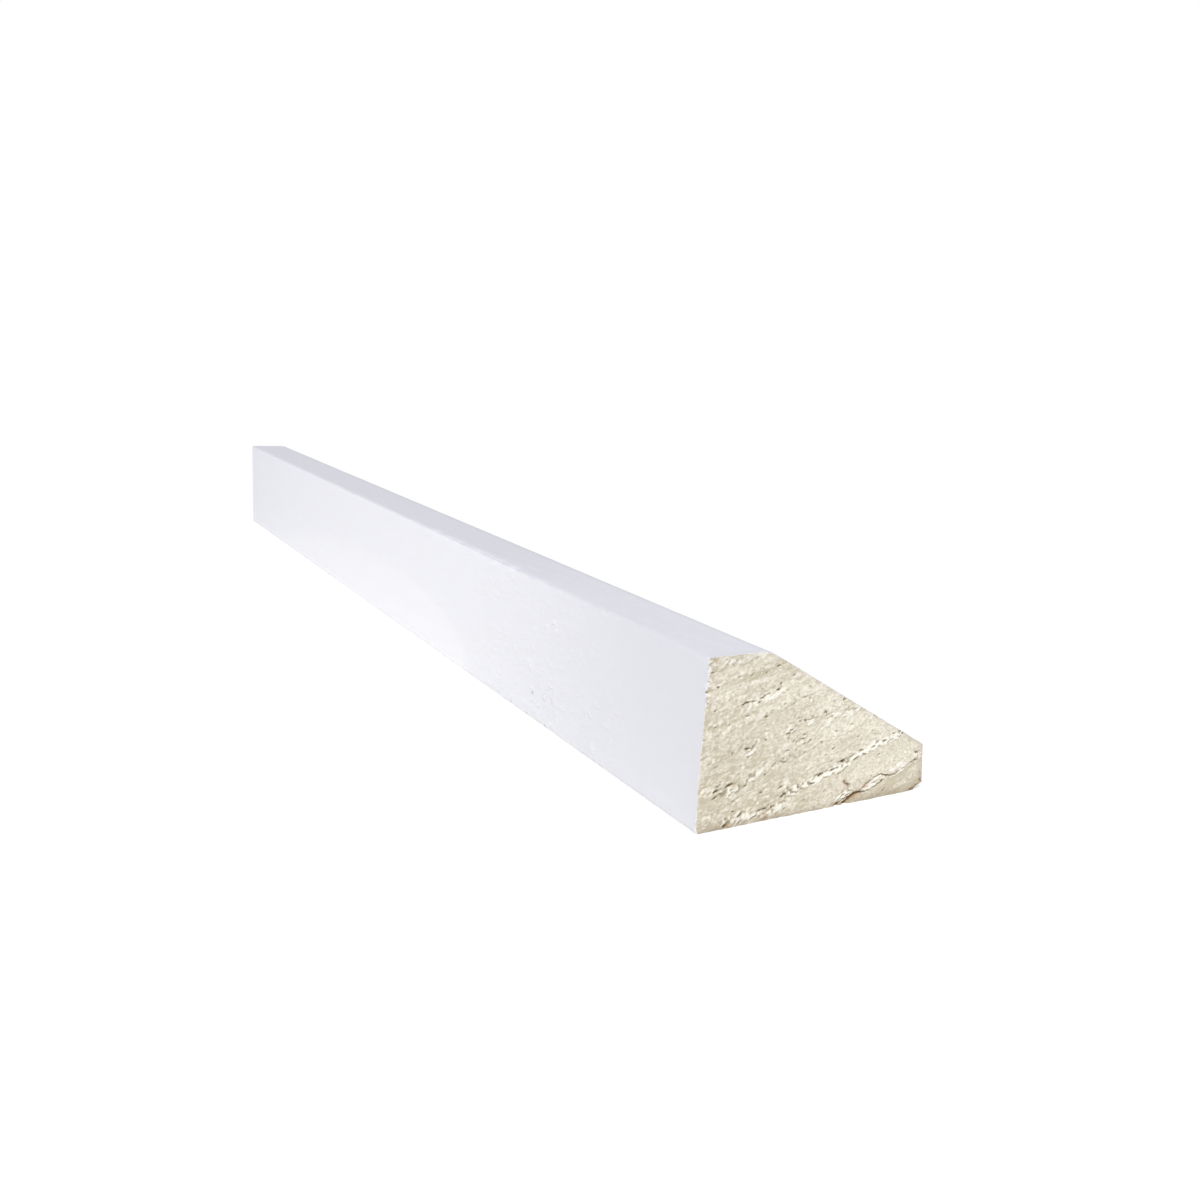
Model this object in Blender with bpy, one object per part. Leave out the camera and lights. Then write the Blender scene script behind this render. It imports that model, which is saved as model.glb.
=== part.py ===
# Shoe moulding: a short length of primed softwood trim, milled to one section and cut square.
#
# Metres, +Z up. The strip lies on its wide wall face, with its length along Y.
# The narrow floor face looks towards -X, the toe face is on top, and the bevel falls
# towards +X to the thin top edge, whose back corner is relieved.
# The origin is the middle of the underside.

import math

import bpy
from mathutils import Matrix, Vector

MM = 0.001

# The milled section, as it lies, and the cut length
WALL_FACE_WIDTH = 19.0 * MM
FLOOR_FACE_HEIGHT = 11.2 * MM
LENGTH = 115.0 * MM
TOE_FACE_WIDTH = 4.6 * MM
TOP_EDGE_HEIGHT = 3.35 * MM
TOP_EDGE_LEAN = 0.37 * MM
RELIEF_WIDTH = 0.8 * MM
RELIEF_HEIGHT = 0.52 * MM

# How far each arris is eased
HEEL_RADIUS = 0.35 * MM
TOE_RADIUS = 0.22 * MM
BROW_RADIUS = 1.6 * MM
TOP_EDGE_RADIUS = 0.18 * MM
RELIEF_RADIUS = 0.12 * MM

# An eased arris keeps at least this share of each flat beside it
FLAT_SHARE_KEPT = 0.55
ARC_STEP = math.radians(7.5)

PRIMER_COLOUR = (0.80, 0.81, 0.85, 1.0)
PRIMER_ROUGHNESS = 0.42


def clear_scene():
    """Remove every object, so that a second run starts clean."""
    for item in list(bpy.data.objects):
        bpy.data.objects.remove(item, do_unlink=True)


def section_corners():
    """Corners of the section before easing, each with its radius, as (across, up, radius)."""
    return [
        (0.0, 0.0, HEEL_RADIUS),
        (WALL_FACE_WIDTH - RELIEF_WIDTH, 0.0, RELIEF_RADIUS),
        (WALL_FACE_WIDTH, RELIEF_HEIGHT, RELIEF_RADIUS),
        (WALL_FACE_WIDTH - TOP_EDGE_LEAN, TOP_EDGE_HEIGHT, TOP_EDGE_RADIUS),
        (TOE_FACE_WIDTH, FLOOR_FACE_HEIGHT, BROW_RADIUS),
        (0.0, FLOOR_FACE_HEIGHT, TOE_RADIUS),
    ]


def eased_corner(before, corner, after, radius):
    """Points of the arc that rounds one corner, from the flat before it to the flat after it."""
    to_before = before - corner
    to_after = after - corner
    half_angle = to_before.angle(to_after) / 2
    room = (1 - FLAT_SHARE_KEPT) * min(to_before.length, to_after.length)
    setback = min(radius / math.tan(half_angle), room)
    true_radius = setback * math.tan(half_angle)
    inward = (to_before.normalized() + to_after.normalized()).normalized()
    centre = corner + inward * true_radius / math.sin(half_angle)
    spoke = corner + to_before.normalized() * setback - centre
    turn = math.pi - 2 * half_angle
    steps = max(1, math.ceil(turn / ARC_STEP))
    return [centre + Matrix.Rotation(turn * step / steps, 2) @ spoke for step in range(steps + 1)]


def section_outline():
    """The whole eased section, anticlockwise."""
    corners = section_corners()
    places = [Vector((across, up)) for across, up, _ in corners]
    outline = []
    for index, (_, _, radius) in enumerate(corners):
        before = places[index - 1]
        after = places[(index + 1) % len(places)]
        outline += eased_corner(before, places[index], after, radius)
    return outline


def primer_material():
    """White factory primer, brushed smooth."""
    material = bpy.data.materials.new("white_primer")
    material.use_nodes = True
    shader = material.node_tree.nodes["Principled BSDF"]
    shader.inputs["Base Color"].default_value = PRIMER_COLOUR
    shader.inputs["Roughness"].default_value = PRIMER_ROUGHNESS
    shader.inputs["Metallic"].default_value = 0.0
    material.diffuse_color = PRIMER_COLOUR
    return material


def moulding_strip(collection):
    """The section drawn as a flat outline and carried along the length."""
    curve = bpy.data.curves.new("shoe_moulding", "CURVE")
    curve.dimensions = "2D"
    curve.fill_mode = "BOTH"
    curve.extrude = LENGTH / 2
    outline = section_outline()
    spline = curve.splines.new("POLY")
    spline.points.add(len(outline) - 1)
    for point, place in zip(spline.points, outline):
        point.co = (place.x, place.y, 0.0, 1.0)
    spline.use_cyclic_u = True
    curve.materials.append(primer_material())
    strip = bpy.data.objects.new("shoe_moulding", curve)
    strip.location = (-WALL_FACE_WIDTH / 2, 0.0, 0.0)
    strip.rotation_euler = (math.radians(90), 0.0, 0.0)
    collection.objects.link(strip)
    return strip


def main():
    clear_scene()
    collection = bpy.data.collections.new("Shoe moulding")
    bpy.context.scene.collection.children.link(collection)
    moulding_strip(collection)


main()
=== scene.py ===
import math
from types import SimpleNamespace

import bpy
import numpy as np
from mathutils import Matrix, Vector


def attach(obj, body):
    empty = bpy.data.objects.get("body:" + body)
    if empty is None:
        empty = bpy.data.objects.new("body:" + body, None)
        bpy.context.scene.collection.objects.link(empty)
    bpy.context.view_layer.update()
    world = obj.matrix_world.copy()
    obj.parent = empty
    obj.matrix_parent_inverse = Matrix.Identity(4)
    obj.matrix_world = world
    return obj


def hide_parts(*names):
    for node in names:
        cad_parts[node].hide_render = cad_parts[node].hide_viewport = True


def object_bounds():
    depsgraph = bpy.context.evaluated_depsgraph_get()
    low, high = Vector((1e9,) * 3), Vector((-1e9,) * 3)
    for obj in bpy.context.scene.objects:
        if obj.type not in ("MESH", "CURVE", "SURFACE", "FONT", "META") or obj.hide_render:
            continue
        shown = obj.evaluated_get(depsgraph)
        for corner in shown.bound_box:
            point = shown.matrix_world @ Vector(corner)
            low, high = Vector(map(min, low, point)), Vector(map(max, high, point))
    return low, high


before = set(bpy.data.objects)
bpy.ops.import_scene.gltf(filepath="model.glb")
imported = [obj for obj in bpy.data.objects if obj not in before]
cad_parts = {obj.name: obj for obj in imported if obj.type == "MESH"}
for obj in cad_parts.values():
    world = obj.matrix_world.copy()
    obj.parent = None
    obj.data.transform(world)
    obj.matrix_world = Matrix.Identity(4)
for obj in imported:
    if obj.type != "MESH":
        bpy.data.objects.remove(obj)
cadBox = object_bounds()
mm = 0.001
print("frame loaded, strip", [round(size / mm, 2) for size in cadBox[1] - cadBox[0]], "mm")


# Small tools for shapes. Lengths are in mm until a mesh is written.

def sCurve(low, high, value):
    # 0 below low, 1 above high, and 3t^2 - 2t^3 between them
    t = np.clip((value - low) / (high - low), 0, 1)
    return t * t * (3 - 2 * t)


def window(low, high, rise, fall, value):
    # up from 0 to 1 over rise past low, and back to 0 over fall before high
    return sCurve(low, low + rise, value) * (1 - sCurve(high - fall, high, value))


def latticeNoise(a, b, cellA, cellB, seed):
    # smooth noise from -1 to 1: random values on a lattice of cellA by cellB, blended by S-curves
    # between the four that stand round a point
    gridA, gridB = a / cellA, b / cellB
    lowA, lowB = np.floor(gridA).astype(int), np.floor(gridB).astype(int)
    shareA, shareB = sCurve(0, 1, gridA - lowA), sCurve(0, 1, gridB - lowB)
    lowA, lowB = lowA - lowA.min(), lowB - lowB.min()
    values = np.random.default_rng(seed).uniform(-1, 1, (lowA.max() + 2, lowB.max() + 2))
    near = values[lowA, lowB] * (1 - shareB) + values[lowA, lowB + 1] * shareB
    far = values[lowA + 1, lowB] * (1 - shareB) + values[lowA + 1, lowB + 1] * shareB
    return near * (1 - shareA) + far * shareA


def fromPath(across, up, path):
    # distance of each point from a broken line, and the share of its length at the nearest place
    path = np.asarray(path, float)
    lengths = np.hypot(*np.diff(path, axis=0).T)
    done = np.concatenate([[0], np.cumsum(lengths)])
    nearest = np.full(across.shape, np.inf)
    share = np.zeros(across.shape)
    for start, end, length, before in zip(path, path[1:], lengths, done):
        along = ((across - start[0]) * (end[0] - start[0]) + (up - start[1]) * (end[1] - start[1])) / length
        along = np.clip(along, 0, length)
        gap = np.hypot(across - start[0] - (end[0] - start[0]) * along / length,
                       up - start[1] - (end[1] - start[1]) * along / length)
        closer = gap < nearest
        nearest = np.where(closer, gap, nearest)
        share = np.where(closer, (before + along) / done[-1], share)
    return nearest, share


def resample(points, count, turnWeight=0.0):
    # count + 1 points along a broken line, evenly by length plus turnWeight mm for each radian of turn
    steps = np.diff(points, axis=0)
    lengths = np.hypot(*steps.T)
    heading = np.unwrap(np.arctan2(steps[:, 1], steps[:, 0]))
    turns = np.concatenate([[0], np.abs(np.diff(heading)), [0]])
    measure = np.concatenate([[0], np.cumsum(lengths + turnWeight * (turns[:-1] + turns[1:]) / 2)])
    wanted = np.linspace(0, measure[-1], count + 1)
    return np.stack([np.interp(wanted, measure, points[:, axis]) for axis in (0, 1)], -1)


# The milled section, read from the CAD's near end as (across from the floor face, up from the underside).

def sectionOutline():
    # the corners of the near end in order of their angle round its middle, from the heel, anticlockwise
    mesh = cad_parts["shoe_moulding"].data
    places = np.empty(len(mesh.vertices) * 3)
    mesh.vertices.foreach_get("co", places)
    places = places.reshape(-1, 3) / mm
    ends = places[:, 1] < 0
    corners = np.unique(np.round(places[ends][:, [0, 2]], 4), axis=0) - [cadBox[0].x / mm, 0]
    middle = (corners.min(0) + corners.max(0)) / 2
    angle = np.arctan2(corners[:, 1] - middle[1], corners[:, 0] - middle[0])
    corners = corners[np.argsort(angle)]
    heel = np.argmin(corners.sum(1))
    return np.roll(corners, -heel, axis=0)


def sectionSides(outline):
    # the outline cut at its furthest points down-left, down-right, up-right and up-left
    # into the underside, the top edge, the bevel with the toe face, and the floor face
    closed = np.vstack([outline, outline[:1]])
    cuts = [int(np.argmax(outline @ direction)) for direction in ((0.3, -1), (1, 1), (-1, 1))]
    return [closed[:cuts[0] + 1], closed[cuts[0]:cuts[1] + 1], closed[cuts[1]:cuts[2] + 1], closed[cuts[2]:]]


def rimGaps(across, up):
    # distance of each point from the underside, the top edge, the bevel with the toe face, and the floor face
    return [fromPath(across, up, side)[0] for side in sides]


outline = sectionOutline()
sides = sectionSides(outline)
stripLength = (cadBox[1].y - cadBox[0].y) / mm
print("section read:", len(outline), "corners")


# The sawn ends: growth rings, torn pits, frayed fibres and splits, as depths behind the end plane.

sawnEnd = dict(
    pith=(-18.0, 100.0),          # centre of the growth rings, far outside the section
    ringRadii=(90.2, 91.7, 92.8, 94.3, 95.7, 97.35, 99.4, 101.5, 104.1, 106.5),
    ringWander=0.16,
    wanderCell=(2.4, 1.7),
    ringSeed=3,
    recess=0.042,                 # mean depth of the sawn surface
    deepest=0.40,
    mottle=((0.12, 0.036), (0.24, 0.034), (0.85, 0.018)),   # cell and height
    roughest=1.28,                # how strong the mottle is at the heel
    calmAcross=(2, 12, 0.62),     # it grows calmer from here to there, by so much
    calmUp=(4, 8, 0.38),
    raggedness=(0.14, 0.06),      # cell and reach of the wander that makes every outline ragged
    fleckCell=(0.20, 0.13),       # cells along and across the rings
    lumpCell=(0.42, 0.25),
    streakCell=(1.3, 0.17),
    holeCell=(0.26, 0.13),
    streak=0.018,
    streakFrom=(94.6, 104.2),     # the surface is streaky inside the first radius and outside the second
    groove=(0.05, 0.05, 0.35),    # depth, half width and darkness of the ring lines
    tuftHeight=0.08,
    sliverHeight=0.07,
    tearDepth=0.13,
    gapDepth=0.08,                # between the tufts of a frayed line
    pitDepth=(0.07, 1.1),         # least depth, and what each mm of width adds to it
    darkPit=0.12,                 # width from which a pit is as dark as it gets
    scatteredPits=120,
    darkFrom=0.2,                 # the value of the torn mask at which the wood starts to darken
    # across, up, length and width of the largest torn pits
    pits=((2.40, 2.83, 0.60, 0.24), (1.35, 2.60, 0.40, 0.20), (1.33, 2.20, 0.36, 0.14),
          (3.47, 5.10, 0.28, 0.15), (6.50, 2.07, 0.40, 0.12), (6.80, 1.50, 0.55, 0.24),
          (3.40, 0.72, 0.55, 0.14), (2.33, 0.20, 0.50, 0.18), (8.00, 1.85, 0.40, 0.10),
          (9.70, 2.43, 0.60, 0.20), (10.70, 2.66, 0.45, 0.13), (11.62, 3.06, 0.42, 0.28),
          (12.30, 3.36, 0.30, 0.09), (12.95, 3.58, 0.35, 0.11), (10.55, 4.10, 0.30, 0.14),
          (8.45, 4.93, 0.30, 0.14), (8.00, 6.33, 0.30, 0.10), (11.07, 7.38, 0.24, 0.14),
          (9.72, 6.50, 0.36, 0.09), (3.10, 8.04, 0.66, 0.11), (4.40, 8.26, 0.45, 0.10),
          (5.55, 8.66, 0.32, 0.15), (11.38, 0.13, 0.50, 0.20), (13.95, 1.28, 0.34, 0.09),
          (12.18, 0.22, 0.40, 0.17), (15.22, 1.20, 0.28, 0.12), (15.65, 1.47, 0.55, 0.08),
          (18.15, 2.20, 0.40, 0.09), (18.25, 2.80, 0.36, 0.11), (18.84, 0.66, 0.24, 0.12),
          (18.15, 0.12, 0.40, 0.11), (18.50, 0.32, 0.34, 0.08), (11.70, 2.53, 0.30, 0.09),
          (6.05, 0.87, 0.24, 0.09), (6.90, 0.60, 0.22, 0.09), (7.00, 1.05, 0.28, 0.11),
          (3.45, 0.26, 0.30, 0.09), (5.20, 0.87, 0.20, 0.07)),
    # broken lines of frayed fibre, each with its half width, its strength and how far it is torn above
    frays=((((7.2, 1.6), (8.6, 1.95), (10.0, 2.35), (11.7, 2.9)), 0.30, 1.05, 0.9),
           (((11.5, 2.8), (12.8, 3.35), (14.4, 3.85), (16.7, 4.5)), 0.25, 1.25, 0.3),
           (((1.8, 2.3), (3.1, 2.55)), 0.30, 1.0, 0.9),
           (((3.7, 2.9), (4.5, 3.3), (5.2, 3.85)), 0.22, 0.85, 0.8),
           (((3.6, 4.65), (3.95, 5.0)), 0.24, 1.1, 0.8),
           (((2.0, 0.35), (3.6, 0.5), (5.8, 0.6), (7.2, 1.15)), 0.32, 0.85, 1.0),
           (((6.5, 5.55), (6.9, 5.8)), 0.24, 1.0, 0.5),
           (((8.2, 6.1), (8.6, 6.4)), 0.22, 1.0, 0.5),
           (((7.7, 5.0), (8.1, 5.2)), 0.20, 0.9, 0.9),
           (((9.9, 6.2), (11.0, 6.6), (12.6, 6.6)), 0.58, 0.62, 0.2),
           (((13.5, 5.8), (14.4, 6.0)), 0.26, 0.75, 0.5),
           (((3.5, 7.85), (4.5, 8.1), (6.1, 8.6)), 0.17, 0.85, 0.8),
           (((0.3, 6.9), (3.4, 7.7)), 0.30, 0.4, 0.3),
           (((0.4, 10.9), (2.2, 10.6), (4.4, 11.0)), 0.35, 0.55, 0.4),
           (((0.1, 8.4), (0.12, 10.9)), 0.20, 0.9, 0.0),
           (((11.1, 0.50), (11.6, 0.60), (12.2, 0.76), (12.6, 0.96)), 0.16, 1.15, 0.5)),
    tearBeside=(-0.08, 0.24),     # from a frayed line to the torn line beside it
    # broken lines where the wood has split: half width at the start, half width further on, the share of the
    # line where it thins, and how dark it is
    splits=((((12.0, 0.08), (12.5, 0.41), (13.0, 0.58), (13.4, 0.63), (13.95, 0.70), (14.55, 0.92),
              (15.0, 1.03), (15.25, 1.18)), 0.17, 0.045, 0.42, 0.9),
            (((13.2, 0.72), (13.65, 1.03), (14.0, 1.28), (14.45, 1.48), (15.05, 1.68), (15.4, 1.53),
              (15.95, 1.40), (16.35, 1.48), (16.7, 1.66), (17.05, 1.83), (17.65, 2.03), (18.1, 2.2),
              (18.5, 2.53), (18.25, 2.76), (18.0, 2.84)), 0.06, 0.045, 0.2, 0.65),
            (((11.8, 1.68), (12.0, 1.48), (12.25, 1.25), (12.6, 0.92)), 0.06, 0.03, 0.6, 0.7)),
    splitDepth=(0.10, 1.3),       # least depth, and what each mm of half width adds to it
    # broken lines of pale wood lifted beside the splits, each with its half width and strength
    slivers=((((13.45, 0.78), (14.1, 1.10), (14.7, 1.32), (15.25, 1.38)), 0.25, 1.0),
             (((15.9, 1.84), (16.4, 1.75), (17.1, 1.97)), 0.22, 1.0),
             (((16.45, 2.15), (16.9, 2.12)), 0.15, 0.8),
             (((17.1, 2.12), (17.8, 2.32)), 0.13, 0.5),
             (((17.85, 2.48), (18.2, 2.54)), 0.15, 1.0)),
    stainReach=0.36,              # round the thick start of a split
    # across, up and size of the stained spots
    stainSpots=((2.45, 0.15, 0.38), (5.4, 0.25, 0.34), (11.3, 0.1, 0.35), (18.3, 0.12, 0.30),
                (18.9, 0.6, 0.24)),
    # painted shade: how dark the rim is made and how far in it reaches beside the underside, the top edge and
    # the bevel
    rimShade=((0.46, 0.38), (0.30, 0.36), (0.17, 0.28)),
    rimCell=0.45,                 # of the noise that breaks the rim up
)


def growthRings(across, up, wander):
    # distance from the pith with a slow wander, where each point stands from one ring line to the next,
    # and how far round the rings it lies
    fromPithAcross = across - sawnEnd["pith"][0]
    fromPithUp = sawnEnd["pith"][1] - up
    radius = np.hypot(fromPithAcross, fromPithUp)
    radius = radius + wander * latticeNoise(across, up, *sawnEnd["wanderCell"], sawnEnd["ringSeed"])
    aroundPith = np.arctan2(fromPithAcross, fromPithUp) * radius.mean()
    lines = np.array(sawnEnd["ringRadii"])
    ring = np.clip(np.searchsorted(lines, radius) - 1, 0, len(lines) - 2)
    phase = np.clip((radius - lines[ring]) / (lines[ring + 1] - lines[ring]), 0, 1)
    return radius, phase, aroundPith


def alongGrain(across, up, place):
    # offsets of each point from a place, along the ring through it and square to that ring
    slope = math.atan2(place[0] - sawnEnd["pith"][0], sawnEnd["pith"][1] - place[1])
    right, rise = across - place[0], up - place[1]
    return right * math.cos(slope) + rise * math.sin(slope), rise * math.cos(slope) - right * math.sin(slope)


def scattered(count, seed):
    # random places clear of the outline, more of them near the next ring line and on the floor side
    rng = np.random.default_rng(seed)
    places = rng.uniform(outline.min(0), outline.max(0), (count * 12, 2))
    _, phase, _ = growthRings(places[:, 0], places[:, 1], sawnEnd["ringWander"])
    share = (0.12 + 0.88 * phase ** 3) * (1 - 0.6 * sCurve(4, 14, places[:, 0]))
    keep = rng.uniform(0, 1, len(places)) < share
    toOutline, _ = fromPath(places[:, 0], places[:, 1], np.vstack([outline, outline[:1]]))
    places = places[keep & (toOutline > 0.4)][:count]
    return places, rng.uniform(0, 1, (len(places), 2))


def sawnGrain(across, up, seed):
    # what each point is made of: its place, its place with a ragged wander, its place in the rings, how rough
    # and how streaky it is, and the noise of its flecks, lumps and streaks
    radius, phase, aroundPith = growthRings(across, up, sawnEnd["ringWander"])
    cell, reach = sawnEnd["raggedness"]
    (fromAcross, toAcross, byAcross), (fromUp, toUp, byUp) = sawnEnd["calmAcross"], sawnEnd["calmUp"]
    calm = (sawnEnd["roughest"] - byAcross * sCurve(fromAcross, toAcross, across)) \
        * (1 - byUp * sCurve(fromUp, toUp, up))
    inner, outer = sawnEnd["streakFrom"]
    streaky = 1 - sCurve(inner, inner + 2.2, radius) + sCurve(outer - 0.1, outer + 0.2, radius)
    return SimpleNamespace(
        across=across, up=up, radius=radius, phase=phase, aroundPith=aroundPith,
        ragged=across + reach * latticeNoise(across, up, cell, cell, seed + 1),
        raggedUp=up + reach * latticeNoise(across, up, cell, cell, seed + 2),
        rough=(0.45 + 0.55 * sCurve(0.1, 0.8, phase)) * calm,
        streaky=0.25 + 0.75 * streaky,
        flecks=latticeNoise(aroundPith, radius, *sawnEnd["fleckCell"], seed + 3),
        lumps=latticeNoise(aroundPith, radius, *sawnEnd["lumpCell"], seed + 7),
        streaks=latticeNoise(aroundPith, radius, *sawnEnd["streakCell"], seed + 20))


def gapTo(path, grain, wander):
    # distance from a broken line and share of its length, with the ragged wander made so many times larger
    return fromPath(grain.across + wander * (grain.ragged - grain.across),
                    grain.up + wander * (grain.raggedUp - grain.up), path)


def mottleAndPits(grain, seed, photographed):
    # height = mottle + streaks - ring lines - pits, where a pit is exp(-(distance in half widths)^2.6),
    # and how torn the wood is in the ring lines and pits
    raised = np.zeros(grain.across.shape)
    for index, (cell, height) in enumerate(sawnEnd["mottle"]):
        lumps = latticeNoise(grain.ragged, grain.raggedUp, cell, cell, seed + 10 + index)
        raised += height * grain.rough * lumps
    raised += sawnEnd["streak"] * grain.streaky * grain.streaks
    depth, halfWidth, dark = sawnEnd["groove"]
    toLine = np.abs(grain.radius[..., None] - np.array(sawnEnd["ringRadii"])).min(-1)
    broken = sCurve(-0.1, 0.5, latticeNoise(grain.aroundPith, grain.radius, 0.9, 1.5, seed + 21))
    groove = np.exp(-(toLine / halfWidth) ** 2) * broken
    raised -= depth * groove
    tornAndShade = dark * groove

    places, chances = scattered(sawnEnd["scatteredPits"], seed + 30)
    pits = [(*place, 0.10 + 0.25 * first ** 2, 0.06 + 0.05 * second)
            for place, (first, second) in zip(places, chances)]
    pits += sawnEnd["pits"] if photographed else ()
    least, byWidth = sawnEnd["pitDepth"]
    for atAcross, atUp, length, width in pits:
        along, over = alongGrain(grain.ragged, grain.raggedUp, (atAcross, atUp))
        hollow = np.exp(-((2 * along / length) ** 2 + (2 * over / width) ** 2) ** 1.3)
        raised -= (least + byWidth * width) * hollow
        tornAndShade = np.maximum(tornAndShade, hollow * min(1.0, width / sawnEnd["darkPit"]))
    return raised, tornAndShade


def frayedLines(grain):
    # strength * exp(-(distance / width)^2) along each frayed line, and the same on the torn line beside it
    fray, tear = np.zeros(grain.across.shape), np.zeros(grain.across.shape)
    stepAcross, stepUp = sawnEnd["tearBeside"]
    for path, width, strength, tornStrength in sawnEnd["frays"]:
        gap, _ = gapTo(path, grain, 1.6)
        fray = np.maximum(fray, strength * np.exp(-(gap / width) ** 2))
        gap, _ = fromPath(grain.ragged - stepAcross, grain.raggedUp - stepUp, path)
        tear = np.maximum(tear, tornStrength * np.exp(-(gap / (0.6 * width)) ** 2))
    return fray, tear


def liftedSlivers(grain):
    # a blade round each line, widest in its middle, ragged along its edge and broken where the lumps are low
    sliver = np.zeros(grain.across.shape)
    for path, width, strength in sawnEnd["slivers"]:
        gap, share = gapTo(path, grain, 2)
        breadth = width * (0.5 + 2.2 * share * (1 - share)) * (1 + 0.7 * grain.lumps)
        blade = (1 - sCurve(0.7, 1.1, gap / breadth)) * sCurve(-0.7, -0.3, grain.lumps)
        sliver = np.maximum(sliver, strength * blade)
    return sliver


def splitsAndStains(grain, raised, tornAndShade):
    # each split is exp(-(distance / half width)^2) deep, thinner and broken past its thick start and stained
    # round it, and each stained spot is dark at its heart
    stain = np.zeros(grain.across.shape)
    least, byWidth = sawnEnd["splitDepth"]
    for path, wide, narrow, thins, dark in sawnEnd["splits"]:
        gap, share = gapTo(path, grain, 1)
        thin = sCurve(thins - 0.1, thins + 0.1, share)
        halfWidth = wide + (narrow - wide) * thin
        cleft = np.exp(-(gap / halfWidth) ** 2) * (1 - 0.6 * thin * sCurve(-0.1, 0.5, grain.lumps))
        raised = raised - (least + byWidth * halfWidth) * cleft
        tornAndShade = np.maximum(tornAndShade, dark * cleft)
        near = 1 - sCurve(0.0, sawnEnd["stainReach"], gap)
        stain = np.maximum(stain, dark ** 2 * near * (1 - thin))
    for atAcross, atUp, size in sawnEnd["stainSpots"]:
        away = np.hypot(grain.ragged - atAcross, 1.6 * (grain.raggedUp - atUp))
        spot = np.exp(-(away / size) ** 2)
        stain = np.maximum(stain, 0.6 * spot)
        tornAndShade = np.maximum(tornAndShade, 0.75 * spot ** 3)
    return raised, tornAndShade, stain


# The tone of the sawn wood, from 0 for the dark of the pine to 1 for the pale.

pineTone = dict(
    middle=0.41,
    slopes=((0.020, 8), (0.014, 4)),     # change for each mm across and up, and where it is nought
    # paler and darker places: across, up, reach and change
    places=((1, 1.5, 3, -0.12), (10, 6.3, 2, 0.20)),
    denseRing=0.44,                      # how much darker it is outside the second streaky radius
    earlyWood=(0.3, 0.10),               # share of each ring that is darker, and by how much
    flecks=0.50,
    streaks=0.26,
    # cells along and across, and strength, of three more noises
    patches=(3.0, 0.9, 0.14),
    bands=(4.0, 0.42, 0.30),
    grit=(0.3, 0.26, 0.12),
)


def woodTone(grain, seed):
    # tone = middle + slopes + places - dense ring - early wood + flecks, streaks, patches, bands and grit
    (byAcross, levelAcross), (byUp, levelUp) = pineTone["slopes"]
    tone = pineTone["middle"] + byAcross * (grain.across - levelAcross) + byUp * (grain.up - levelUp)
    for atAcross, atUp, reach, change in pineTone["places"]:
        tone += change * np.exp(-np.hypot(grain.across - atAcross, grain.up - atUp) / reach)
    outer = sawnEnd["streakFrom"][1]
    share, darker = pineTone["earlyWood"]
    tone -= pineTone["denseRing"] * sCurve(outer - 0.1, outer + 0.3, grain.radius)
    tone -= darker * np.exp(-(grain.phase / share) ** 2)
    tone += pineTone["flecks"] * grain.rough * grain.flecks
    tone += pineTone["streaks"] * grain.streaky * grain.streaks
    *cells, strength = pineTone["patches"]
    tone += strength * latticeNoise(grain.aroundPith, grain.radius, *cells, seed + 6)
    *cells, strength = pineTone["bands"]
    tone += strength * grain.streaky * latticeNoise(grain.aroundPith, grain.radius, *cells, seed + 8)
    *cells, strength = pineTone["grit"]
    return tone + strength * latticeNoise(grain.ragged, grain.raggedUp, *cells, seed + 5)


def sawnSurface(across, up, seed, photographed):
    # depth behind the end plane = recess - (mottle and pits, splits, + tufts and slivers - tears and gaps),
    # with masks for what is torn out and where shade is painted along the rim, for what is frayed and
    # stained, and the tone of the wood
    grain = sawnGrain(across, up, seed)
    raised, tornAndShade = mottleAndPits(grain, seed, photographed)
    blank = np.zeros(across.shape)
    fray, tear, sliver, stain = blank, blank, blank, blank
    if photographed:
        fray, tear = frayedLines(grain)
        sliver = liftedSlivers(grain)
        raised, tornAndShade, stain = splitsAndStains(grain, raised, tornAndShade)

    # flecks and lumps decide where a frayed line stands up in tufts, is torn through, or has a gap
    within = np.clip(fray, 0, 1)
    tuft = 0.52 * fray + (0.34 + 0.50 * within) * (0.8 * grain.flecks + 0.45 * grain.lumps)
    tuft = sCurve(0.30, 0.55, tuft) * (0.35 + 0.65 * within)
    holes = latticeNoise(grain.aroundPith, grain.radius, *sawnEnd["holeCell"], seed + 4)
    tear = sCurve(0.50, 0.85, 0.20 * tear + (0.50 + 0.48 * tear) * holes) * (1 - 0.8 * sliver)
    gaps = within * sCurve(0.15, 0.55, -grain.flecks) * (1 - 0.8 * sliver)
    raised = raised + sawnEnd["tuftHeight"] * tuft + sawnEnd["sliverHeight"] * sliver
    raised -= sawnEnd["tearDepth"] * tear + sawnEnd["gapDepth"] * gaps
    tornAndShade = np.maximum(tornAndShade, np.maximum(0.7 * tear, 0.65 * gaps))
    tuft = np.maximum(tuft, sliver) * (1 - tornAndShade)

    # painted shade: the rim beside the underside, the top edge and the bevel is darkened, broken up by noise
    cell = sawnEnd["rimCell"]
    rimShadeBreakup = 0.8 + 0.3 * latticeNoise(across, up, cell, cell, seed + 9)
    for gap, (shade, reach) in zip(rimGaps(across, up), sawnEnd["rimShade"]):
        tornAndShade = np.maximum(tornAndShade, sawnEnd["darkFrom"] + shade * rimShadeBreakup * np.exp(-(gap / reach) ** 2))

    recess = sawnEnd["recess"]
    raised = np.where(raised > 0, recess * np.tanh(raised / recess), raised)
    depth = np.clip(recess - raised, 0, sawnEnd["deepest"])
    masks = dict(tornAndShade=tornAndShade, tuft=tuft, tone=woodTone(grain, seed), stain=stain, nibsAndGlints=blank, thin=blank)
    return depth, masks


# The film of primer where it meets the saw cut.

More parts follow.
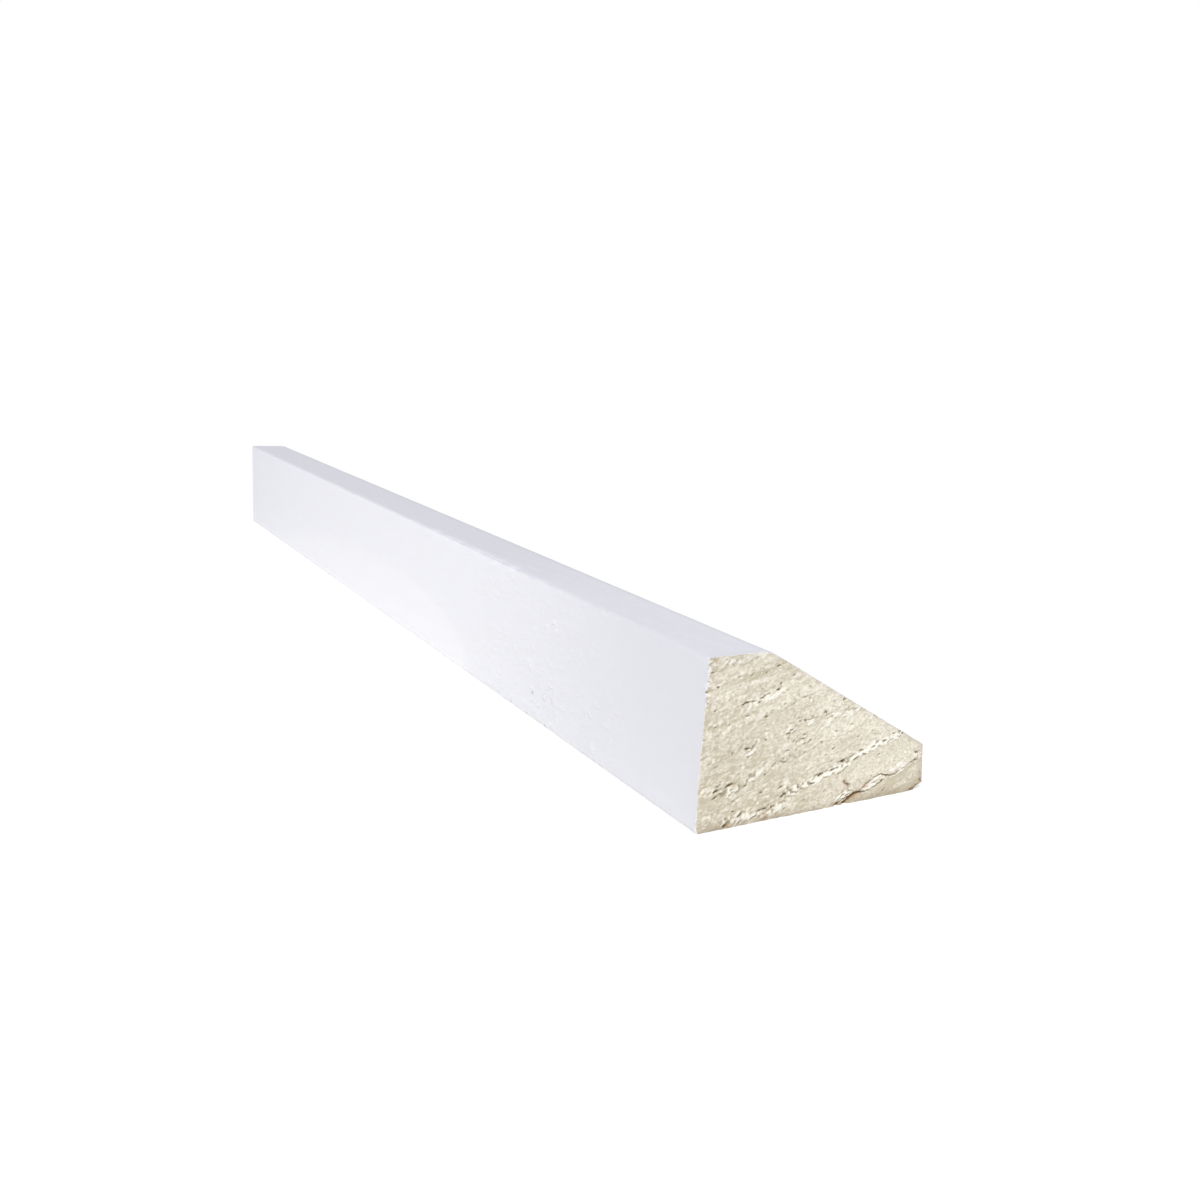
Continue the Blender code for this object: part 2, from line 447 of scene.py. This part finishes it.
filmBand = dict(
    waves=((0.55, 1.0), (0.2, 0.6)),     # cell and strength of the noises that make its edge ragged
    # its width on each painted side, and how much the noises change it
    floorFace=(0.065, 0.04),
    bevel=(0.03, 0.025),
    underside=(0.012, 0.015),            # and the top edge
    corners=0.08,                        # how much wider it is on the floor face near the toe and the heel
    nearToe=(8.2, 11.0, 0.8, 0.4),       # from, to, and how far each takes to come and go
    nearHeel=(0.5, 1.6),
    least=0.008,
)


def filmEdge(across, up, seed):
    # where the film of primer still stands at the saw cut: a ragged band inside each painted side,
    # widest down the floor face
    base, topEdge, bevel, floorFace = rimGaps(across, up)
    wave = np.zeros(across.shape)
    for index, (cell, strength) in enumerate(filmBand["waves"]):
        wave += strength * latticeNoise(across, up, cell, cell, seed + index)
    corners = window(*filmBand["nearToe"], up) + 1 - sCurve(*filmBand["nearHeel"], up)
    film = np.zeros(across.shape)
    for gap, name, wider in ((floorFace, "floorFace", filmBand["corners"] * corners), (bevel, "bevel", 0),
                             (np.minimum(base, topEdge), "underside", 0)):
        width, raggedness = filmBand[name]
        reach = np.maximum(width + raggedness * wave + wider, filmBand["least"])
        film = np.maximum(film, 1 - sCurve(0.75, 1.25, gap / reach))
    return film


# The primer film on the milled faces: how far it lies inside the CAD's surface.

primerCoat = dict(
    inset=0.018,
    least=0.004,
    telegraph=(0.006, 0.22),     # height of the ring lines that show through, and their share of a ring
    ringWander=(0.25, 30, 6),    # how far those lines wander up and down, and its cells along and round
    grainRelief=(0.006, 0.42, 6.5),    # height and cells of the fine grain
    grainSlope=0.16,             # how fast the grain falls towards the far end
    # where along the floor face the primed grain stands rough: from, to, and how far it takes to come and go
    roughPatch=(6.0, 38.0, 8.0, 10.0),
    roughRelief=(0.009, 0.5, 1.1),
    roughShare=0.55,             # how rough the patch is outside its worst places
    # the worst places: along, up, reach along, reach up and strength
    worst=((20.5, 2.2, 8.0, 2.6, 0.75), (28.5, 9.8, 7.0, 1.6, 0.6)),
    chippedToe=(23.0, 47.0, 5.0, 8.0),    # where the toe arris is chipped, given like roughPatch
    chipDepth=0.18,
    chipLength=1.1,
    chipReach=0.30,              # how far from the arris a chip and a nick reach
    nickReach=0.32,
    # distance from the near end, depth and length of the nicks in the toe arris
    toeNicks=((37.5, 0.20, 1.2), (29.2, 0.22, 1.0), (33.0, 0.12, 1.6), (43.0, 0.12, 2.0), (31.2, 0.14, 0.9),
              (35.2, 0.13, 1.0), (40.0, 0.10, 1.1), (26.5, 0.08, 0.9), (21.0, 0.05, 0.8), (48.5, 0.07, 1.6),
              (61.0, 0.04, 1.4), (84.0, 0.05, 1.1)),
    heelNicks=((26.1, 0.10, 0.5), (23.2, 0.08, 0.4), (20.1, 0.08, 0.5), (57.0, 0.06, 0.7),
               (92.0, 0.08, 0.6)),
)


def roughPatch(place, normal, alongStrip, roundSection, seed):
    # come and go along the strip * a slow noise * the floor face alone * stronger in the worst places
    patch = window(*primerCoat["roughPatch"], alongStrip)
    patch = patch * (0.6 + 0.4 * latticeNoise(roundSection, alongStrip, 2.0, 4.0, seed))
    patch = patch * (1 - sCurve(-0.95, -0.3, normal[..., 0]))
    gather = primerCoat["roughShare"]
    for atAlong, atUp, reachAlong, reachUp, strength in primerCoat["worst"]:
        fromWorst = np.hypot((alongStrip - atAlong) / reachAlong, (place[..., 1] - atUp) / reachUp)
        gather = gather + strength * np.exp(-fromWorst ** 2)
    return patch * gather


def nicked(toArris, alongStrip, nicks):
    # depth * exp(-(distance along in half lengths)^4 - (distance from the arris in reaches)^4), summed
    depths = np.zeros(toArris.shape)
    for distance, depth, length in nicks:
        along = (alongStrip - distance) / (length / 2)
        depths += depth * np.exp(-along ** 4 - (toArris / primerCoat["nickReach"]) ** 4)
    return depths


def primedInset(place, normal, alongStrip, seed):
    # inset = mean inset - telegraphed rings - fine grain stretched along the length - rough patch
    # + chips and nicks in the arrises, with masks for the nibs, which also carry painted glints, and for
    #   painted shade on the toe arris that dims its highlight
    across, up = place[..., 0], place[..., 1]
    turned = np.mod(np.arctan2(normal[..., 1], normal[..., 0]) + 1.27, 2 * np.pi)
    roundSection = 40 * turned + across + up + primerCoat["grainSlope"] * alongStrip
    wander, *cells = primerCoat["ringWander"]
    _, phase, _ = growthRings(across, up + wander * latticeNoise(alongStrip, roundSection, *cells, seed), 0.0)
    height, share = primerCoat["telegraph"]
    inset = primerCoat["inset"] - height * np.exp(-(phase / share) ** 2)
    height, *cells = primerCoat["grainRelief"]
    inset += height * latticeNoise(roundSection, alongStrip, *cells, seed + 1)
    patch = roughPatch(place, normal, alongStrip, roundSection, seed + 2)
    height, *cells = primerCoat["roughRelief"]
    inset -= height * patch * latticeNoise(roundSection, alongStrip, *cells, seed + 3)

    toToe = np.hypot(across, up - outline[:, 1].max())
    inset += nicked(toToe, alongStrip, primerCoat["toeNicks"])
    inset += nicked(np.hypot(across, up), alongStrip, primerCoat["heelNicks"])
    chipped = window(*primerCoat["chippedToe"], alongStrip)
    chips = np.clip(latticeNoise(alongStrip, up, primerCoat["chipLength"], 40, seed + 5), 0, 1)
    inset += primerCoat["chipDepth"] * chipped * chips * np.exp(-(toToe / primerCoat["chipReach"]) ** 4)

    # the rough patch gives where the nibs stand and where their painted glints go
    nibsAndGlints = patch * (1 - 0.3 * sCurve(3, 9, up))
    # painted shade: the primer is darkened where the surface faces both up and towards the floor face, as on
    # the toe arris, to dim its highlight; more where it is chipped
    thin = np.clip(-2 * normal[..., 0] * normal[..., 1], 0, 1) * (0.75 + 0.25 * chipped)
    return np.maximum(inset, primerCoat["least"]), nibsAndGlints, thin


# The strip as one closed mesh: a fine patch on each end, joined by rings along the length.

stripMesh = dict(
    nearPatch=(268, 156),
    farPatch=(150, 86),
    ringPoints=216,
    ringTurn=1.3,          # how much closer its points stand in the arrises, in mm for each radian
    patchTurn=0.3,         # the same for the sides of the end patches
    rows=150,
    rowGrowth=2.6,         # how much further apart the rings stand at the far end
    firstRow=0.5,          # distance of the first and last ring from the end planes
)


def endPatch(columns, rows):
    # Coons patch: each point blends the four sides of the section, less the blend of its four corners
    base, topEdge, bevel, floorFace = sides
    turn = stripMesh["patchTurn"]
    low = resample(base, columns, turn)[None]
    high = resample(bevel[::-1], columns, turn)[None]
    left = resample(floorFace[::-1], rows, turn)[:, None]
    right = resample(topEdge, rows, turn)[:, None]
    u = np.linspace(0, 1, columns + 1)[None, :, None]
    v = np.linspace(0, 1, rows + 1)[:, None, None]
    corners = (1 - u) * (1 - v) * low[:, :1] + u * (1 - v) * low[:, -1:] \
        + (1 - u) * v * high[:, :1] + u * v * high[:, -1:]
    return (1 - v) * low + v * high + (1 - u) * left + u * right - corners


def gridFaces(columns, rows, first, flip):
    # quads of a grid whose points are numbered row by row from first
    corner = first + np.arange(rows)[:, None] * (columns + 1) + np.arange(columns)[None]
    quads = np.stack([corner, corner + 1, corner + columns + 2, corner + columns + 1], -1).reshape(-1, 4)
    return quads[:, ::-1] if flip else quads


def patchLoop(columns, rows, first):
    # numbers of the patch's outer points, anticlockwise from the heel
    number = first + np.arange((columns + 1) * (rows + 1)).reshape(rows + 1, columns + 1)
    return np.concatenate([number[0, :-1], number[:-1, -1], number[-1, :0:-1], number[:0:-1, 0]])


def loopShares(places):
    # share of the way round at each point of a closed loop
    lengths = np.hypot(*(np.roll(places, -1, axis=0) - places).T)
    return np.concatenate([[0], np.cumsum(lengths)[:-1]]) / lengths.sum()


def zipLoops(loopA, sharesA, loopB, sharesB):
    # triangles between two closed loops with unlike counts: each edge of one loop meets the point of the
    # other that stands at the middle of that edge
    middleA = (sharesA + np.append(sharesA[1:], 1)) / 2
    middleB = (sharesB + np.append(sharesB[1:], 1)) / 2
    metB = np.searchsorted(middleB, middleA) % len(loopB)
    metA = np.searchsorted(middleA, middleB) % len(loopA)
    fromA = np.stack([loopA, np.roll(loopA, -1), loopB[metB]], -1)
    fromB = np.stack([np.roll(loopB, -1), loopB, loopA[metA]], -1)
    return np.vstack([fromA, fromB])


def buildEnd(name, end, seed, first):
    # places, masks and faces of one sawn end, whose points are numbered from first
    size = stripMesh[name + "Patch"]
    flat = endPatch(*size).reshape(-1, 2)
    depth, masks = sawnSurface(flat[:, 0], flat[:, 1], seed, end < 0)
    masks["film"] = filmEdge(flat[:, 0], flat[:, 1], seed + 5)
    places = np.stack([flat[:, 0], end * (stripLength / 2 - depth), flat[:, 1]], -1)
    return places, masks, gridFaces(*size, first, end > 0)


def buildSides(first):
    # places, masks and faces of the rings along the length, the place of one ring, and how many there are
    ring = resample(np.vstack([outline, outline[:1]]), stripMesh["ringPoints"], stripMesh["ringTurn"])[:-1]
    tangent = np.roll(ring, -1, axis=0) - np.roll(ring, 1, axis=0)
    tangent /= np.linalg.norm(tangent, axis=1, keepdims=True)
    normal = np.stack([tangent[:, 1], -tangent[:, 0]], -1)
    share = np.linspace(0, 1, stripMesh["rows"] + 1)
    growth = stripMesh["rowGrowth"]
    share = share + (growth - 1) / (growth + 1) * (share ** 2 - share)
    alongStrip = stripMesh["firstRow"] + (stripLength - 2 * stripMesh["firstRow"]) * share
    gridPlace = np.broadcast_to(ring, (len(alongStrip), *ring.shape))
    gridNormal = np.broadcast_to(normal, gridPlace.shape)
    gridAlong = np.broadcast_to(alongStrip[:, None], gridPlace.shape[:2])
    inset, nibsAndGlints, thin = primedInset(gridPlace, gridNormal, gridAlong, 400)
    section = gridPlace - gridNormal * inset[..., None]
    places = np.stack([section[..., 0], gridAlong - stripLength / 2, section[..., 1]], -1).reshape(-1, 3)
    blank = np.zeros(len(places))
    masks = dict(tornAndShade=blank, tuft=blank, tone=blank + 0.5, stain=blank, film=blank + 1,
                 nibsAndGlints=nibsAndGlints.ravel(), thin=thin.ravel())
    here = first + np.arange(len(alongStrip) - 1)[:, None] * len(ring) + np.arange(len(ring))[None]
    onward = np.roll(here, -1, axis=1)
    quads = np.stack([here, onward, onward + len(ring), here + len(ring)], -1)
    return places, masks, quads[..., ::-1].reshape(-1, 4), ring, len(alongStrip)


def buildStrip():
    # near end, far end and the rings between them, then the triangles that join them
    near = buildEnd("near", -1, 50, 0)
    far = buildEnd("far", 1, 250, len(near[0]))
    total = len(near[0]) + len(far[0])
    print("sawn ends:", total, "points")
    *rings, ring, rows = buildSides(total)

    placeParts, maskParts, faceParts = zip(near, far, rings)
    places = np.vstack(placeParts) + np.array([cadBox[0].x, 0, 0]) / mm
    masks = {name: np.concatenate([part[name] for part in maskParts]) for name in rings[1]}
    firstRing = total + np.arange(len(ring))
    lastRing = firstRing + len(ring) * (rows - 1)
    ringShares = loopShares(ring)
    nearLoop = patchLoop(*stripMesh["nearPatch"], 0)
    farLoop = patchLoop(*stripMesh["farPatch"], len(near[0]))
    nearShares = loopShares(places[nearLoop][:, [0, 2]])
    farShares = loopShares(places[farLoop][:, [0, 2]])
    triangles = np.vstack([zipLoops(firstRing, ringShares, nearLoop, nearShares),
                           zipLoops(farLoop, farShares, lastRing, ringShares)])
    return places, np.vstack(faceParts), triangles, masks


def writeMesh(name, places, quads, triangles, masks):
    # arrays in mm into a mesh in metres, each mask as a point attribute
    mesh = bpy.data.meshes.new(name)
    mesh.vertices.add(len(places))
    mesh.vertices.foreach_set("co", (places * mm).astype(np.float32).ravel())
    corners = np.concatenate([quads.ravel(), triangles.ravel()]).astype(np.int32)
    starts = np.concatenate([np.arange(len(quads)) * 4, quads.size + np.arange(len(triangles)) * 3])
    mesh.loops.add(len(corners))
    mesh.loops.foreach_set("vertex_index", corners)
    mesh.polygons.add(len(starts))
    mesh.polygons.foreach_set("loop_start", starts.astype(np.int32))
    mesh.polygons.foreach_set("use_smooth", np.ones(len(starts), bool))
    for maskName, values in masks.items():
        attribute = mesh.attributes.new(maskName, "FLOAT", "POINT")
        attribute.data.foreach_set("value", values.astype(np.float32))
    mesh.update()
    mesh.validate()
    mesh.set_sharp_from_angle(angle=math.radians(60))
    piece = bpy.data.objects.new(name, mesh)
    bpy.context.scene.collection.objects.link(piece)
    return piece


# Shader maths as Python expressions

class Wire:
    # one output socket, with the sums that a mask needs
    def __init__(self, shade, socket):
        self.shade, self.socket = shade, socket

    def maths(self, operation, first, second, clamp=False):
        settings = dict(operation=operation, use_clamp=clamp)
        return self.shade.add("ShaderNodeMath", settings, {0: first, 1: second})

    def __add__(self, other):
        return self.maths("ADD", self, other)

    def __sub__(self, other):
        return self.maths("SUBTRACT", self, other)

    def __rsub__(self, other):
        return self.maths("SUBTRACT", other, self)

    def __mul__(self, other):
        return self.maths("MULTIPLY", self, other)

    __radd__ = __add__
    __rmul__ = __mul__

    def ramp(self, low, high):
        # 0 below low and 1 above high
        return self.maths("MULTIPLY", self - low, 1 / (high - low), clamp=True)


class Shade:
    # the nodes of one material or world, which all come from add
    def __init__(self, owner):
        self.owner = owner
        owner.use_nodes = True
        self.tree = owner.node_tree
        self.tree.nodes.clear()

    def add(self, kind, settings=None, values=None, out=0):
        node = self.tree.nodes.new(kind)
        for name, value in (settings or {}).items():
            setattr(node, name, value)
        for name, value in (values or {}).items():
            if isinstance(value, Wire):
                self.tree.links.new(value.socket, node.inputs[name])
            else:
                node.inputs[name].default_value = value
        return Wire(self, node.outputs[out]) if len(node.outputs) else None

    def mask(self, name):
        return self.add("ShaderNodeAttribute", dict(attribute_name=name), out="Fac")

    def noise(self, cell, stretch=(1, 1, 1), detail=2.0, turn=(0, 0, 0)):
        # noise on the piece's own place, its features about cell metres across, stretched and turned
        place = self.add("ShaderNodeTexCoord", out="Object")
        place = self.add("ShaderNodeMapping", dict(vector_type="TEXTURE"),
                         {"Vector": place, "Rotation": turn, "Scale": [cell * s for s in stretch]})
        return self.add("ShaderNodeTexNoise", values={"Vector": place, "Scale": 1.0, "Detail": detail})

    def spot(self, centre, radius):
        # 1 at a place on the piece, falling to 0 at radius
        place = self.add("ShaderNodeTexCoord", out="Object")
        gap = self.add("ShaderNodeVectorMath", dict(operation="DISTANCE"), {0: place, 1: centre}, "Value")
        return gap.ramp(radius, 0.3 * radius)

    def mix(self, first, second, share):
        # a colour between two
        return self.add("ShaderNodeMix", dict(data_type="RGBA"), {0: share, 6: first, 7: second}, out=2)

    def bump(self, height, distance):
        return self.add("ShaderNodeBump", values={"Height": height, "Distance": distance, "Strength": 1.0})

    def ending(self, shader, output="ShaderNodeOutputMaterial"):
        self.add(output, values={"Surface": shader})
        return self.owner


finish = dict(
    primer=(0.80, 0.805, 0.845, 1),
    primerWarm=(0.79, 0.785, 0.80, 1),
    # painted highlight: the whiter glints on the nibs
    primerGlint=(0.90, 0.90, 0.92, 1),
    # painted shade on the toe arris
    primerArrisShade=(0.60, 0.605, 0.65, 1),
    # grey specks in the film: place in metres and radius
    dust=(((-0.0095, -0.0352, 0.0022), 0.00024), ((-0.00945, -0.0314, 0.0002), 0.00022),
          ((-0.00945, -0.0343, 0.0002), 0.00018), ((-0.00945, -0.0374, 0.0002), 0.00022)),
    dustColour=(0.42, 0.41, 0.40, 1),
    primerRoughness=(0.48, 0.14),    # least, and what the orange peel adds
    peelCell=0.0007,                 # metres, like the other cells
    brushCell=0.0003,
    streakCell=0.00025,
    gritCell=0.00042,
    fibreCell=0.00012,
    fibreContrast=1.95,              # how strongly the cells of the wood change its tone
    relief=0.00004,                  # metres, of both bumps
    # how far each colour is laid over the one below it
    shares=dict(frayed=0.90, tornOutAndShade=0.92, stain=0.85, warm=0.50, glint=0.80, thin=0.55, dust=0.70),
    pineDark=(0.61, 0.55, 0.42, 1),
    pinePale=(0.95, 0.90, 0.785, 1),
    frayed=(1.0, 0.98, 0.90, 1),
    # dark of torn-out wood, also used as painted shade along the sawn rim
    tornOutAndShade=(0.20, 0.14, 0.075, 1),
    stain=(0.34, 0.195, 0.08, 1),
)


def primedPine():
    # white primer where the film mask is 1, sawn pine where it is 0
    shade = Shade(bpy.data.materials.new("primed_pine"))
    film, tornAndShade, tuft = shade.mask("film"), shade.mask("tornAndShade"), shade.mask("tuft")
    tone, stain = shade.mask("tone"), shade.mask("stain")

    shares = finish["shares"]
    cells = shade.noise(finish["fibreCell"], (1.7, 1, 1), 3.0, (0, -0.26, 0))
    tone = tone + finish["fibreContrast"] * (cells - 0.5)
    wood = shade.mix(finish["pineDark"], finish["pinePale"], tone)
    wood = shade.mix(wood, finish["frayed"], tuft * shares["frayed"])
    # dark of torn-out wood, and painted shade along the sawn rim
    dark = tornAndShade.ramp(sawnEnd["darkFrom"], 1.0)
    wood = shade.mix(wood, finish["tornOutAndShade"], dark * shares["tornOutAndShade"])
    wood = shade.mix(wood, finish["stain"], stain * shares["stain"])
    fibres = shade.bump(cells, finish["relief"])
    sawnShader = shade.add("ShaderNodeBsdfPrincipled",
                           values={"Base Color": wood, "Roughness": 0.85, "Normal": fibres,
                                   "Specular IOR Level": 0.25})

    nibsAndGlints = shade.mask("nibsAndGlints")
    peel = shade.noise(finish["peelCell"])
    slant = (-math.atan(primerCoat["grainSlope"]), 0, 0)
    brushed = shade.noise(finish["brushCell"], (1, 9, 1), turn=slant)
    streaks = shade.noise(finish["streakCell"], (1, 30, 1), turn=slant)
    grit = shade.noise(finish["gritCell"], (1, 2.0, 1), 3.0, slant)
    coat = shade.mix(finish["primer"], finish["primerWarm"], streaks.ramp(0.45, 0.8) * shares["warm"])
    # painted highlight: the nibs are made whiter where the grit noise is high, as glints on them
    coat = shade.mix(coat, finish["primerGlint"], grit.ramp(0.52, 0.66) * nibsAndGlints * shares["glint"])
    # painted shade on the toe arris, from the thin mask
    coat = shade.mix(coat, finish["primerArrisShade"], shade.mask("thin") * shares["thin"])
    for centre, radius in finish["dust"]:
        coat = shade.mix(coat, finish["dustColour"], shade.spot(centre, radius) * shares["dust"])
    least, byPeel = finish["primerRoughness"]
    coatRough = least + byPeel * peel.ramp(0.4, 0.65)
    relief = peel * 0.35 + brushed * 0.25 + (grit + grit.ramp(0.52, 0.70)) * nibsAndGlints * 1.8
    skin = shade.bump(relief, finish["relief"])
    primerShader = shade.add("ShaderNodeBsdfPrincipled",
                             values={"Base Color": coat, "Roughness": coatRough, "Normal": skin,
                                     "Specular IOR Level": 0.22})
    return shade.ending(shade.add("ShaderNodeMixShader", values={0: film, 1: sawnShader, 2: primerShader}))


strip = writeMesh("primed_strip", *buildStrip())
strip.data.materials.append(primedPine())
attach(strip, "root")
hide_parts("shoe_moulding")
triangleCount = sum(len(face.vertices) - 2 for face in strip.data.polygons)
print("strip meshed:", triangleCount, "triangles")


# Floor, light and camera

stage = dict(
    floorSize=6.0,
    floorColours=((0.55, 0.545, 0.53, 1), (0.57, 0.565, 0.55, 1)),
    floorGlow=0.515,
    sky=(0.83, 0.86, 1.0, 1),
    skyLight=0.25,
    backdrop=(1, 1, 1, 1),
    keyTowards=(-0.3735, -0.431, 0.8217),   # from the strip to the light
    keyStrength=2.69,
    keyAngle=11.0,
    keyColour=(1.0, 0.995, 0.985),
    # small lamps on the floor face and the toe: where each stands, where it points, its power, cone, blend,
    # radius and colour
    washes=(((-170, -105, 26), (-9.5, 3, 26), 0.235, 34, 1.0, 4.0, (1.0, 0.975, 0.90)),
            ((-68, -235, 21), (-9.5, 10, -3.2), 0.40, 4.0, 0.05, 0.2, (1.0, 0.94, 0.64)),
            ((-4, -78, 130), (-7, -58, 11.2), 0.045, 32, 1.0, 4.0, (1.0, 0.98, 0.92))),
)


def setStage():
    half = stage["floorSize"] / 2
    mesh = bpy.data.meshes.new("floor")
    corners = [(-half, -half, 0), (half, -half, 0), (half, half, 0), (-half, half, 0)]
    mesh.from_pydata(corners, [], [(0, 1, 2, 3)])
    floor = bpy.data.objects.new("floor", mesh)
    bpy.context.scene.collection.objects.link(floor)
    shade = Shade(bpy.data.materials.new("pale_floor"))
    grain = shade.noise(0.004)
    colour = shade.mix(*stage["floorColours"], grain)
    surface = shade.add("ShaderNodeBsdfPrincipled",
                        values={"Base Color": colour, "Roughness": 0.9, "Specular IOR Level": 0.1,
                                "Emission Color": (1, 1, 1, 1), "Emission Strength": stage["floorGlow"]})
    mesh.materials.append(shade.ending(surface))


def setSky():
    # a dim even sky lights the strip, and the camera sees a plain white backdrop
    shade = Shade(bpy.data.worlds.new("sky"))
    light = shade.add("ShaderNodeBackground",
                      values={"Color": stage["sky"], "Strength": stage["skyLight"]})
    plain = shade.add("ShaderNodeBackground", values={"Color": stage["backdrop"], "Strength": 1.0})
    seen = shade.add("ShaderNodeLightPath", out="Is Camera Ray")
    sky = shade.add("ShaderNodeMixShader", values={0: seen, 1: light, 2: plain})
    bpy.context.scene.world = shade.ending(sky, "ShaderNodeOutputWorld")


def setLights():
    key = bpy.data.lights.new("key", "SUN")
    key.energy = stage["keyStrength"]
    key.angle = math.radians(stage["keyAngle"])
    key.color = stage["keyColour"]
    lamp = bpy.data.objects.new("key", key)
    lamp.rotation_euler = Vector(stage["keyTowards"]).to_track_quat("Z", "Y").to_euler()
    bpy.context.scene.collection.objects.link(lamp)
    for stands, pointsAt, power, cone, blend, radius, colour in stage["washes"]:
        wash = bpy.data.lights.new("wash", "SPOT")
        wash.energy, wash.color = power, colour
        wash.spot_size, wash.spot_blend = math.radians(cone), blend
        wash.shadow_soft_size = radius * mm
        lamp = bpy.data.objects.new("wash", wash)
        lamp.location = Vector(stands) * mm
        lamp.rotation_euler = (Vector(stands) - Vector(pointsAt)).to_track_quat("Z", "Y").to_euler()
        bpy.context.scene.collection.objects.link(lamp)


view = dict(
    azimuth=30.53,                       # degrees, turned from +Y towards +X
    elevation=13.11,
    roll=3.35,
    fromHeel=(-37.155, -50.113, 28.738),   # mm from the near end of the heel
    lens=33.149,
    sensor=36.0,
)


def setCamera():
    azimuth, elevation, roll = [math.radians(view[name]) for name in ("azimuth", "elevation", "roll")]
    forward = Vector((math.sin(azimuth) * math.cos(elevation), math.cos(azimuth) * math.cos(elevation),
                      -math.sin(elevation)))
    level = Vector((math.cos(azimuth), -math.sin(azimuth), 0))
    upright = level.cross(forward)
    right = math.cos(roll) * level + math.sin(roll) * upright
    up = math.cos(roll) * upright - math.sin(roll) * level
    data = bpy.data.cameras.new("camera")
    data.lens, data.sensor_width = view["lens"], view["sensor"]
    data.clip_start, data.clip_end = 0.001, 20.0
    camera = bpy.data.objects.new("camera", data)
    heel = Vector((cadBox[0].x, cadBox[0].y, cadBox[0].z))
    turned = Matrix((right, up, -forward)).transposed().to_4x4()
    camera.matrix_world = Matrix.Translation(heel + Vector(view["fromHeel"]) * mm) @ turned
    bpy.context.scene.collection.objects.link(camera)
    bpy.context.scene.camera = camera


setStage()
setSky()
setLights()
setCamera()
bpy.context.scene.view_settings.view_transform = "Standard"
print("stage, light and camera set")
